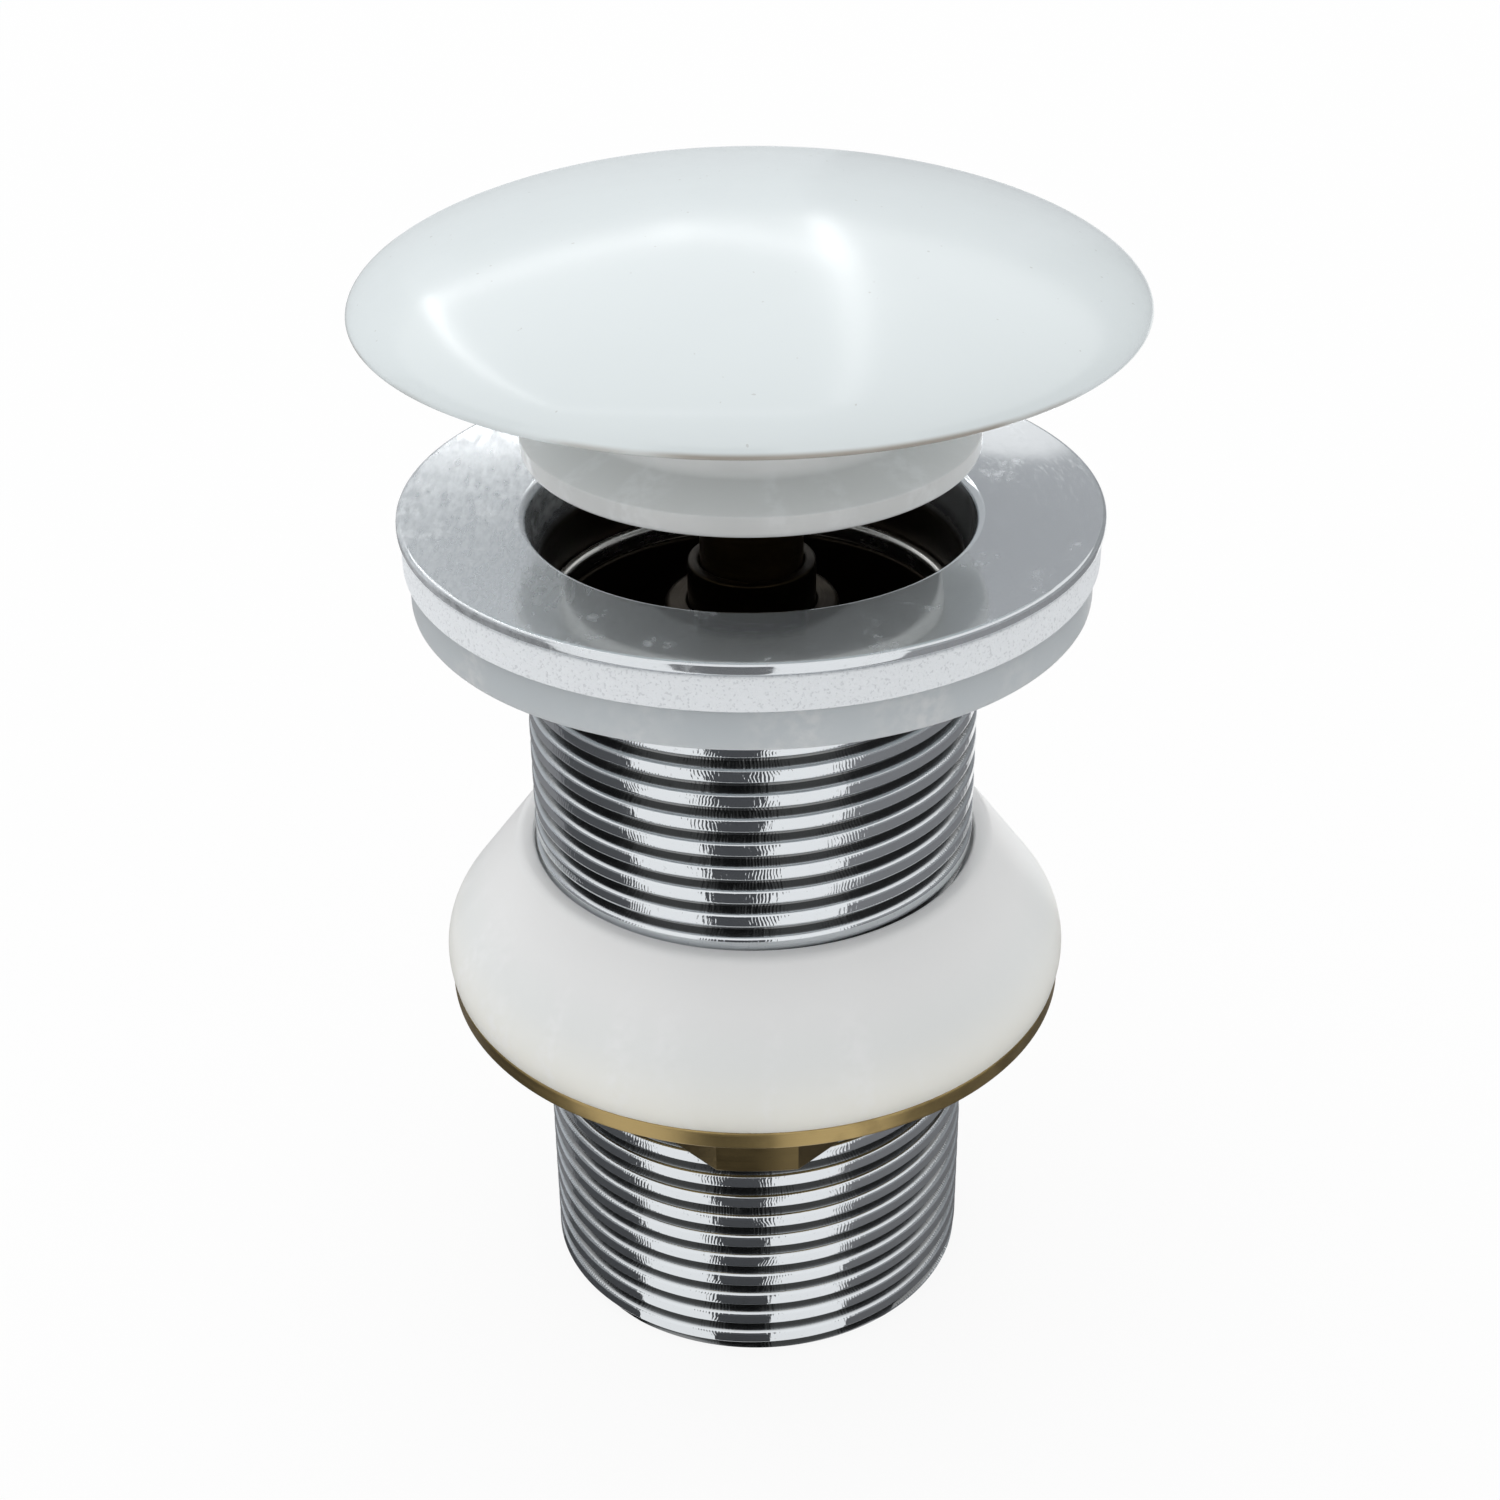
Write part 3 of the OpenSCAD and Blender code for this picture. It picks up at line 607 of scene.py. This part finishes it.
class BASINWASTE_OT_body(bpy.types.Operator):
    """Dished flange, mouth and threaded tail in one chromed piece"""

    bl_idname = "basin_waste.body"
    bl_label = "Flange and tail"
    bl_options = {"REGISTER", "UNDO"}

    faces_round = 160
    rows_per_turn = 16
    dish_steps = 4

    def execute(self, context):
        s = context.scene.waste_sizes
        low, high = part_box("waste_body")
        bore = THREAD_R - s.tail_wall
        cup = bore + s.ledge_w
        fall = math.tan(s.flange_fall)
        under = high.z - s.flange_t
        root = under - fall * (high.x - THREAD_R)
        thread_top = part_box("flat_washer")[0].z - s.edge
        lip = high.z - s.dish_depth
        dish_w = high.x - s.mouth_r
        dish = [k / self.dish_steps for k in range(self.dish_steps - 1, 0, -1)]
        head = rounded([
            (THREAD_R, root, s.edge),
            (high.x, under, s.rim_round),
            (high.x, high.z, s.rim_round),
            *((s.mouth_r + t * dish_w, lip + s.dish_depth * t ** s.dish_curve, 0) for t in dish),
            (s.mouth_r, lip, s.lip_round),
            (cup, lip - s.mouth_taper, s.edge),
            (cup, under - s.ledge_depth, s.edge),
            (bore, under - s.ledge_depth, s.edge),
            (bore, low.z, s.edge),
            (THREAD_R - s.tail_chamfer, low.z, 0)], steps=6)
        # The last corner only shapes the arc before it: the tail starts there itself
        head = head[:-1]
        step = s.pitch / self.rows_per_turn
        heights = [i * step - s.pitch for i in range(math.ceil((root + s.pitch) / step))]

        def tail(angle, height):
            """Point of the tail's outside, on the helix that starts at a height."""
            z = min(max(height + s.pitch * angle / math.tau, low.z), root - 2 * s.edge)
            turn = z / s.pitch - angle / math.tau
            off = abs(turn % 1 - 0.5) * s.pitch
            depth = s.groove_depth * smooth((s.groove_w / 2 - off) / s.flank_w)
            depth *= smooth((thread_top - z) / (s.pitch / 2))
            return min(THREAD_R - depth, THREAD_R - s.tail_chamfer + z), z

        def outline_at(angle):
            """The tail from its end up, then flange, mouth and bore."""
            return [tail(angle, height) for height in heights] + head

        obj = swept("flange_and_tail", outline_at, self.faces_round)
        settle(obj, "waste_body", chrome_plate())
        return {"FINISHED"}


class BASINWASTE_OT_washers(bpy.types.Operator):
    """Foam washer and flat rubber washer under the flange"""

    bl_idname = "basin_waste.washers"
    bl_label = "Washers"
    bl_options = {"REGISTER", "UNDO"}

    def execute(self, context):
        s = context.scene.waste_sizes
        inside = THREAD_R + s.washer_play
        low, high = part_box("foam_washer")
        fall = math.tan(s.flange_fall)
        foam = turned("foam_ring", [
            (inside, low.z, s.edge / 2),
            (high.x, low.z, s.edge),
            (high.x, high.z, s.edge),
            (inside, high.z - fall * (high.x - inside), s.edge / 2)], LARGE_FACES)
        settle(foam, "foam_washer", white_foam())
        low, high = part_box("flat_washer")
        flat = turned("flat_ring", [
            (inside, low.z, s.edge),
            (high.x, low.z, s.washer_round),
            (high.x, high.z, s.edge),
            (inside, high.z, s.edge)], LARGE_FACES)
        rubber = half_clear("flat_rubber", colours().rubber_grey, clear=0.3, softness=0.4)
        settle(flat, "flat_washer", rubber)
        return {"FINISHED"}


class BASINWASTE_OT_gasket(bpy.types.Operator):
    """Bell-shaped rubber gasket under the basin"""

    bl_idname = "basin_waste.gasket"
    bl_label = "Cone gasket"
    bl_options = {"REGISTER", "UNDO"}

    def execute(self, context):
        s = context.scene.waste_sizes
        low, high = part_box("cone_gasket")
        bore = THREAD_R + s.gasket_play
        gasket = turned("bell_gasket", [
            (bore, low.z, s.edge),
            (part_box("back_nut")[1].x, low.z, s.edge),
            (s.shoulder_r, low.z + s.shoulder_h, s.shoulder_round),
            (bore + s.gasket_lip, high.z, s.lip_soft),
            (bore, high.z, s.edge)], LARGE_FACES, steps=10)
        # Painted light: yellowish glow from the brass nut low on the gasket, and a lighter lip at its top
        rubber = half_clear(
            "milky_rubber", colours().rubber, clear=0.06, softness=0.3, nut_glow=colours().rubber_nut_glow)
        settle(gasket, "cone_gasket", rubber)
        return {"FINISHED"}


class BASINWASTE_OT_back_nut(bpy.types.Operator):
    """Brass back nut with a round rim over a square with turned corners"""

    bl_idname = "basin_waste.back_nut"
    bl_label = "Back nut"
    bl_options = {"REGISTER", "UNDO"}

    def execute(self, context):
        s = context.scene.waste_sizes
        low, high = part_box("back_nut")
        bore = THREAD_R + s.nut_play
        rim = high.z - s.nut_rim_t

        def outline_at(angle):
            reach = min(s.nut_corner, polygon_r(angle - math.pi / 4, s.nut_flat, 4))
            return rounded([
                (bore, low.z, s.edge), (reach, low.z, s.edge), (reach, rim, s.edge),
                (high.x, rim, s.edge), (high.x, high.z, s.edge), (bore, high.z, s.edge)])

        # Painted dark reflection: the nut's square under the rim is darkened for the dark that it mirrors
        brass = turned_brass("nut_brass", colours().brass, dark_reflection_below=rim)
        settle(swept("brass_back_nut", outline_at, LARGE_FACES), "back_nut", brass)
        return {"FINISHED"}


class BASINWASTE_OT_cap(bpy.types.Operator):
    """Domed ceramic cap and the brass insert under it"""

    bl_idname = "basin_waste.cap"
    bl_label = "Ceramic cap"
    bl_options = {"REGISTER", "UNDO"}

    dome_steps = 40
    edge_steps = 12

    def execute(self, context):
        s = context.scene.waste_sizes
        low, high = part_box("ceramic_cap")
        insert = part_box("cap_insert")[1]
        widest = high.z - s.cap_dome
        power = 2 / s.cap_curve
        edge = widest - low.z
        rim = high.x - edge
        arc = [(i / self.edge_steps - 1) * math.pi / 2 for i in range(self.edge_steps)]
        quarter = [math.pi / 2 * i / self.dome_steps for i in range(self.dome_steps)]

        def dome_z(r):
            """Height of the dome at a radius, with its top flattened a little."""
            reach = math.hypot(high.x, s.cap_soft) - s.cap_soft
            share = (math.hypot(r, s.cap_soft) - s.cap_soft) / reach
            return widest + s.cap_dome * (1 - share ** s.cap_curve) ** (1 / s.cap_curve)

        outline = [(0, insert.z), (insert.x, insert.z), (insert.x, low.z)]
        outline += [(rim + edge * math.cos(a), widest + edge * math.sin(a)) for a in arc]
        outline += [(r, dome_z(r)) for r in (high.x * math.cos(a) ** power for a in quarter)]
        outline.append((0, high.z))
        settle(swept("domed_cap", lambda angle: outline, LARGE_FACES), "ceramic_cap", satin_glaze())
        dress("cap_insert", turned_brass("insert_brass", colours().brass))
        return {"FINISHED"}


class BASINWASTE_OT_seal(bpy.types.Operator):
    """Silicone seal with its wide lip, and the carrier that holds it"""

    bl_idname = "basin_waste.seal"
    bl_label = "Plug seal"
    bl_options = {"REGISTER", "UNDO"}

    def execute(self, context):
        s = context.scene.waste_sizes
        low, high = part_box("plug_seal")
        neck = high.x - s.seal_lip
        bore = neck - s.seal_wall
        seal = turned("lip_seal", [
            (bore, low.z, s.edge),
            (high.x, low.z, 2 * s.edge),
            (high.x, low.z + s.seal_edge, s.edge / 2),
            (neck, low.z + s.seal_edge + s.seal_rise, 3 * s.edge),
            (neck, high.z, 0),
            (bore, high.z, 0)], LARGE_FACES, steps=6)
        # Painted shade on the seal's lip outside the neck
        silicone = half_clear("clear_seal", colours().silicone, clear=0.16, softness=0.1, lip_shade_from=neck)
        settle(seal, "plug_seal", silicone)
        low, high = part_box("seal_carrier")
        hub = high.x - s.carrier_flange
        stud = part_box("cap_stud")[1].x
        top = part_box("plug_seal")[0].z
        carrier = turned("seal_hub", [
            (hub - s.carrier_wall, low.z, s.edge),
            (high.x, low.z, s.edge),
            (high.x, top, s.edge / 2),
            (hub, top, 0),
            (hub, high.z, s.edge / 2),
            (stud, high.z, 0),
            (stud, high.z - s.carrier_plate, 0),
            (hub - s.carrier_wall, high.z - s.carrier_plate, s.edge)])
        settle(carrier, "seal_carrier", moulded("white_moulding", colours().plastic, softness=0.35))
        return {"FINISHED"}


class BASINWASTE_OT_plunger(bpy.types.Operator):
    """Brass plunger with its stud, lock nut and O-ring"""

    bl_idname = "basin_waste.plunger"
    bl_label = "Plunger"
    bl_options = {"REGISTER", "UNDO"}

    def execute(self, context):
        s = context.scene.waste_sizes
        # Painted shade: dark brass for the shade inside the mouth
        brass = turned_brass("plunger_brass", colours().brass_in_mouth_shade)
        low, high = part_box("stud_lock_nut")
        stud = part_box("cap_stud")[1].x
        nut = hexagon_nut(s, "lock_nut", high.x, stud, low.z, high.z)
        settle(nut, "stud_lock_nut", brass)
        for node in ("plunger", "cap_stud"):
            dress(node, brass)
        dress("plunger_o_ring", moulded("black_moulding", colours().o_ring, softness=0.4))
        return {"FINISHED"}


class BASINWASTE_OT_cartridge(bpy.types.Operator):
    """Bridge in the mouth with the barrel, its nut and end plug"""

    bl_idname = "basin_waste.cartridge"
    bl_label = "Cartridge"
    bl_options = {"REGISTER", "UNDO"}

    def execute(self, context):
        s = context.scene.waste_sizes
        # Painted shade: nearly black brass for the shade deep in the mouth
        brass = turned_brass("cartridge_brass", colours().brass_deep_shade)
        low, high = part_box("cartridge_barrel")
        outside = high.x
        barrel = turned("click_barrel", [
            (outside - s.barrel_wall, low.z, s.edge),
            (outside, low.z, s.edge),
            (outside, high.z, s.edge),
            (outside - s.barrel_wall, high.z, s.edge)], SLIM_FACES)
        settle(barrel, "cartridge_barrel", brass)
        low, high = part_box("cartridge_nut")
        nut = hexagon_nut(s, "barrel_nut", high.x, outside, low.z, high.z)
        settle(nut, "cartridge_nut", brass)
        dress("end_plug", brass)
        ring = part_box("bridge")[1].x - s.ring_w
        plated = turned_brass("bridge_brass", colours().brass_deep_shade, plated_from=ring)
        settle(self.bridge(s, outside), "bridge", plated)
        return {"FINISHED"}

    def bridge(self, s, barrel):
        """Ring on the ledge, joined to a hub by two arms."""
        low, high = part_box("bridge")
        ledge = high.z - s.ring_t
        hub = barrel + s.hub_wall
        ring = rounded([
            (high.x - s.ring_w, ledge, s.edge), (high.x, ledge, s.edge),
            (high.x, high.z, s.edge), (high.x - s.ring_w, high.z, 2 * s.edge)], steps=6)
        collar = rounded([
            (barrel, low.z, s.edge), (hub, low.z, s.edge),
            (hub, high.z, 2 * s.edge), (barrel, high.z, s.edge)], steps=6)
        bm = bmesh.new()
        sweep(bm, lambda angle: ring, LARGE_FACES)
        sweep(bm, lambda angle: collar, SLIM_FACES)
        start, end = hub - s.hub_wall / 2, high.x - s.ring_w / 2
        foot = end - s.ring_w - s.edge
        side = [(start, high.z), (end, high.z), (end, ledge), (foot, ledge), (start, high.z - s.arm_h)]
        for way in (-1, 1):
            faces = [
                [bm.verts.new((x, way * r, z)) for r, z in side]
                for x in (-s.arm_w / 2, s.arm_w / 2)]
            for k in range(len(side)):
                bm.faces.new((faces[0][k - 1], faces[0][k], faces[1][k], faces[1][k - 1]))
            for face in faces:
                bm.faces.new(face)
        return to_object("mouth_bridge", bm)


class BASINWASTE_OT_click(bpy.types.Operator):
    """Drum, guide pin, washer, clip and return spring of the click mechanism"""

    bl_idname = "basin_waste.click"
    bl_label = "Click mechanism"
    bl_options = {"REGISTER", "UNDO"}

    wire_sides = 12
    steps_per_turn = 32

    def execute(self, context):
        s = context.scene.waste_sizes
        steel = drawn_steel()
        for node in ("guide_pin", "thrust_washer", "retaining_clip"):
            dress(node, steel)
        dress("click_drum", moulded("drum_moulding", colours().plastic, softness=0.45))
        low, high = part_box("return_spring")
        spring = self.coil(s, low, high)
        settle(spring, "return_spring", steel)
        travel = next(-j["range_m"][0] for j in frame["joints"] if j["name"] == "plug_press")
        free = high.z - low.z
        1 - travel / free
        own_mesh(spring)
        return {"FINISHED"}

    def coil(self, s, low, high):
        """Spring with one closed turn at each end."""
        wire = s.spring_wire / 2
        middle = high.x - wire
        rise = (high.z - low.z - 6 * wire) / (s.spring_turns - 2)
        bm = bmesh.new()
        rings = []
        for i in range(int(s.spring_turns * self.steps_per_turn) + 1):
            turn = i / self.steps_per_turn
            inner = min(max(turn - 1, 0), s.spring_turns - 2)
            z = low.z + wire + 2 * wire * (turn - inner) + rise * inner
            rings.append(self.ring(bm, middle, wire, z, math.tau * turn))
        for here, there in zip(rings, rings[1:]):
            for k in range(self.wire_sides):
                bm.faces.new((here[k - 1], there[k - 1], there[k], here[k]))
        bm.faces.new(rings[0])
        bm.faces.new(rings[-1])
        return to_object("coil_spring", bm)

    def ring(self, bm, middle, wire, z, angle):
        """Points round the wire at one place along the coil."""
        points = []
        for k in range(self.wire_sides):
            a = math.tau * k / self.wire_sides
            r = middle + wire * math.cos(a)
            up = z + wire * math.sin(a)
            points.append(bm.verts.new((r * math.cos(angle), r * math.sin(angle), up)))
        return points


class BASINWASTE_OT_stage(bpy.types.Operator):
    """Floor, cards, lamps and camera"""

    bl_idname = "basin_waste.stage"
    bl_label = "Stage"
    bl_options = {"REGISTER", "UNDO"}

    card_steps = 8
    # Cards for mirrored rays only: bearings in degrees to the right of the camera, and shades on
    # the floor and upright
    cards = (
        (-184, -165, None, "card_pale"), (-165, -110, "card_grey", "card_pale"),
        (-110, -62, "card_dark", "card_wall"), (-24, 6, "card_dark", "card_dark"),
        (46, 140, "card_grey", "card_wall"), (140, 158, None, "card_wall"),
        (158, 176, None, "card_half"))
    # Ends of the strip lamps over the cap, as shares of their height, and their share of the power
    strips = (
        ((-0.92, 1.66), (-0.15, 1.8), 1.6), ((-0.15, 1.8), (0.2, 1.45), 1.4),
        ((0.2, 1.45), (0.22, 0.0), 1.3), ((0.22, 0.0), (-0.62, 0.0), 0.8),
        ((-0.62, 0.0), (-0.92, 1.6), 2.0))

    def execute(self, context):
        settings = context.scene.waste_stage
        self.make_floor(settings)
        for shade in ("card_dark", "card_grey", "card_wall", "card_half", "card_pale"):
            self.make_cards(settings, shade)
        self.make_world(context.scene, settings)
        self.make_lamps(settings)
        self.make_camera(context.scene, settings)
        context.scene.view_settings.view_transform = "Standard"
        return {"FINISHED"}

    def staged(self, name, bm, finish):
        """Object from a bmesh that belongs to the stage."""
        mesh = bpy.data.meshes.new(name)
        bm.to_mesh(mesh)
        bm.free()
        mesh.materials.append(finish)
        obj = bpy.data.objects.new(name, mesh)
        bpy.context.scene.collection.objects.link(obj)
        return obj

    def make_floor(self, settings):
        """Pale floor that is nearly white as it is seen, and keeps a faint shadow."""
        f = Shader(bpy.data.materials.new("pale_floor"))
        matte = f.node("ShaderNodeBsdfDiffuse", None, {"Color": settings.floor})
        glow = f.node("ShaderNodeEmission", None, {"Color": (1, 1, 1), "Strength": 1.0})
        white = self.seen_rays(f) * settings.floor_glow
        mixed = f.node("ShaderNodeMixShader", None, {0: white, 1: matte, 2: glow})
        feed(f.tree, f.tree.nodes["Material Output"].inputs["Surface"], mixed)
        bm = bmesh.new()
        bmesh.ops.create_grid(bm, x_segments=1, y_segments=1, size=settings.floor_side / 2)
        self.staged("floor", bm, f.owner)

    def make_cards(self, settings, shade):
        """All cards of one shade, on the floor round the tail and upright at their far end."""
        f = Shader(bpy.data.materials.new(shade))
        feed(f.tree, f.tree.nodes["Principled BSDF"].inputs["Base Color"], getattr(settings, shade))
        reach, lift, rise = settings.card_reach, settings.card_lift, settings.card_rise
        shares = [k / self.card_steps for k in range(self.card_steps + 1)]
        bm = bmesh.new()
        for start, end, on_floor, upright in self.cards:
            far = [math.radians(start + (end - start) * share) for share in shares]
            # Mirrored in the tail, an edge looks straight if it starts at half its bearing
            close = [a - a / 2 * max(0, math.cos(a / 2)) for a in far]
            bands = []
            if on_floor == shade:
                bands.append(((THREAD_R, close, lift), (reach, far, lift)))
            if upright == shade:
                bands.append(((reach, far, lift), (reach, far, rise)))
            for band in bands:
                here, there = (self.row(bm, *edge) for edge in band)
                for k in range(self.card_steps):
                    bm.faces.new((here[k], there[k], there[k + 1], here[k + 1]))
        cards = self.staged(shade, bm, f.owner)
        cards.visible_camera = False
        cards.visible_diffuse = False
        cards.visible_transmission = False
        cards.visible_shadow = False

    def row(self, bm, radius, bearings, z):
        """Points round the axis at one radius and height."""
        return [bm.verts.new((radius * math.sin(a), -radius * math.cos(a), z)) for a in bearings]

    def seen_rays(self, shader):
        """Mask of the rays that show a background: from the camera, mirrored or through clear pieces."""
        camera, glossy, clear = (
            shader.node("ShaderNodeLightPath", None, None, f"Is {kind} Ray")
            for kind in ("Camera", "Glossy", "Transmission"))
        return camera.greatest(glossy).greatest(clear)

    def make_world(self, scene, settings):
        """White background, with light that is stronger from behind than from the front."""
        scene.world = bpy.data.worlds.new("soft_room")
        w = Shader(scene.world)
        right, back = w.split(w.node("ShaderNodeTexCoord", None, None, "Generated"))[:2]
        behind = w.fade(back - 0.4 * right, -0.5, 0.5)
        light = w.blend(behind, [settings.light_front] * 3, [settings.light_back] * 3)
        shown = w.blend(self.seen_rays(w), light, (1, 1, 1))
        feed(w.tree, w.tree.nodes["Background"].inputs["Color"], shown)

    def make_lamps(self, settings):
        """Strip lamps over the cap, turned to it."""
        cap = Vector((0, 0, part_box("ceramic_cap")[1].z))
        for i, (start, end, share) in enumerate(self.strips):
            start, end = (cap + settings.ceiling * Vector((*at, 1)) for at in (start, end))
            lamp = bpy.data.lights.new(f"strip_{i}", "AREA")
            along = end - start
            lamp.shape = "RECTANGLE"
            lamp.size = along.length
            lamp.size_y = settings.strip_w
            lamp.energy = settings.strip_power * along.length * share
            obj = bpy.data.objects.new(lamp.name, lamp)
            middle = (start + end) / 2
            back = (middle - cap).normalized()
            side = (along - along.dot(back) * back).normalized()
            turn = Matrix((side, back.cross(side), back)).transposed()
            obj.matrix_world = Matrix.Translation(middle) @ turn.to_4x4()
            bpy.context.scene.collection.objects.link(obj)

    def make_camera(self, scene, settings):
        """Camera at the photograph's place and angle."""
        camera = bpy.data.objects.new("camera", bpy.data.cameras.new("camera"))
        camera.data.lens = settings.camera_lens
        camera.data.clip_start = settings.camera_near
        place = Vector((-settings.camera_side, -settings.camera_back, settings.camera_up))
        turn = Matrix.Rotation(math.pi / 2 - settings.camera_pitch, 4, "X")
        roll = Matrix.Rotation(settings.camera_roll, 4, "Z")
        camera.matrix_world = Matrix.Translation(place) @ turn @ roll
        scene.collection.objects.link(camera)
        scene.camera = camera


OPERATORS = (
    BASINWASTE_OT_stage, BASINWASTE_OT_body, BASINWASTE_OT_washers, BASINWASTE_OT_gasket,
    BASINWASTE_OT_back_nut, BASINWASTE_OT_cap, BASINWASTE_OT_seal, BASINWASTE_OT_plunger,
    BASINWASTE_OT_cartridge, BASINWASTE_OT_click)


class BASINWASTE_PT_panel(bpy.types.Panel):
    """Lists the pieces of the waste"""

    bl_idname = "BASINWASTE_PT_panel"
    bl_label = "Basin waste"
    bl_space_type = "VIEW_3D"
    bl_region_type = "UI"
    bl_category = "Basin waste"

    def draw(self, context):
        for operator in OPERATORS:
            self.layout.operator(operator.bl_idname)


GROUPS = {"waste_sizes": WasteSizes, "waste_colours": WasteColours, "waste_stage": StageSettings}


def register():
    """Adds the settings, operators and panel to Blender."""
    for name, group in GROUPS.items():
        bpy.utils.register_class(group)
        setattr(bpy.types.Scene, name, bpy.props.PointerProperty(type=group))
    for cls in (*OPERATORS, BASINWASTE_PT_panel):
        bpy.utils.register_class(cls)


def unregister():
    """Takes out what register added."""
    for cls in (BASINWASTE_PT_panel, *reversed(OPERATORS)):
        bpy.utils.unregister_class(cls)
    for name, group in GROUPS.items():
        delattr(bpy.types.Scene, name)
        bpy.utils.unregister_class(group)


def main():
    """Builds stage and pieces in order."""
    register()
    for operator in OPERATORS:
        category, name = operator.bl_idname.split(".")
        getattr(getattr(bpy.ops, category), name)()


if __name__ == "__main__":
    main()
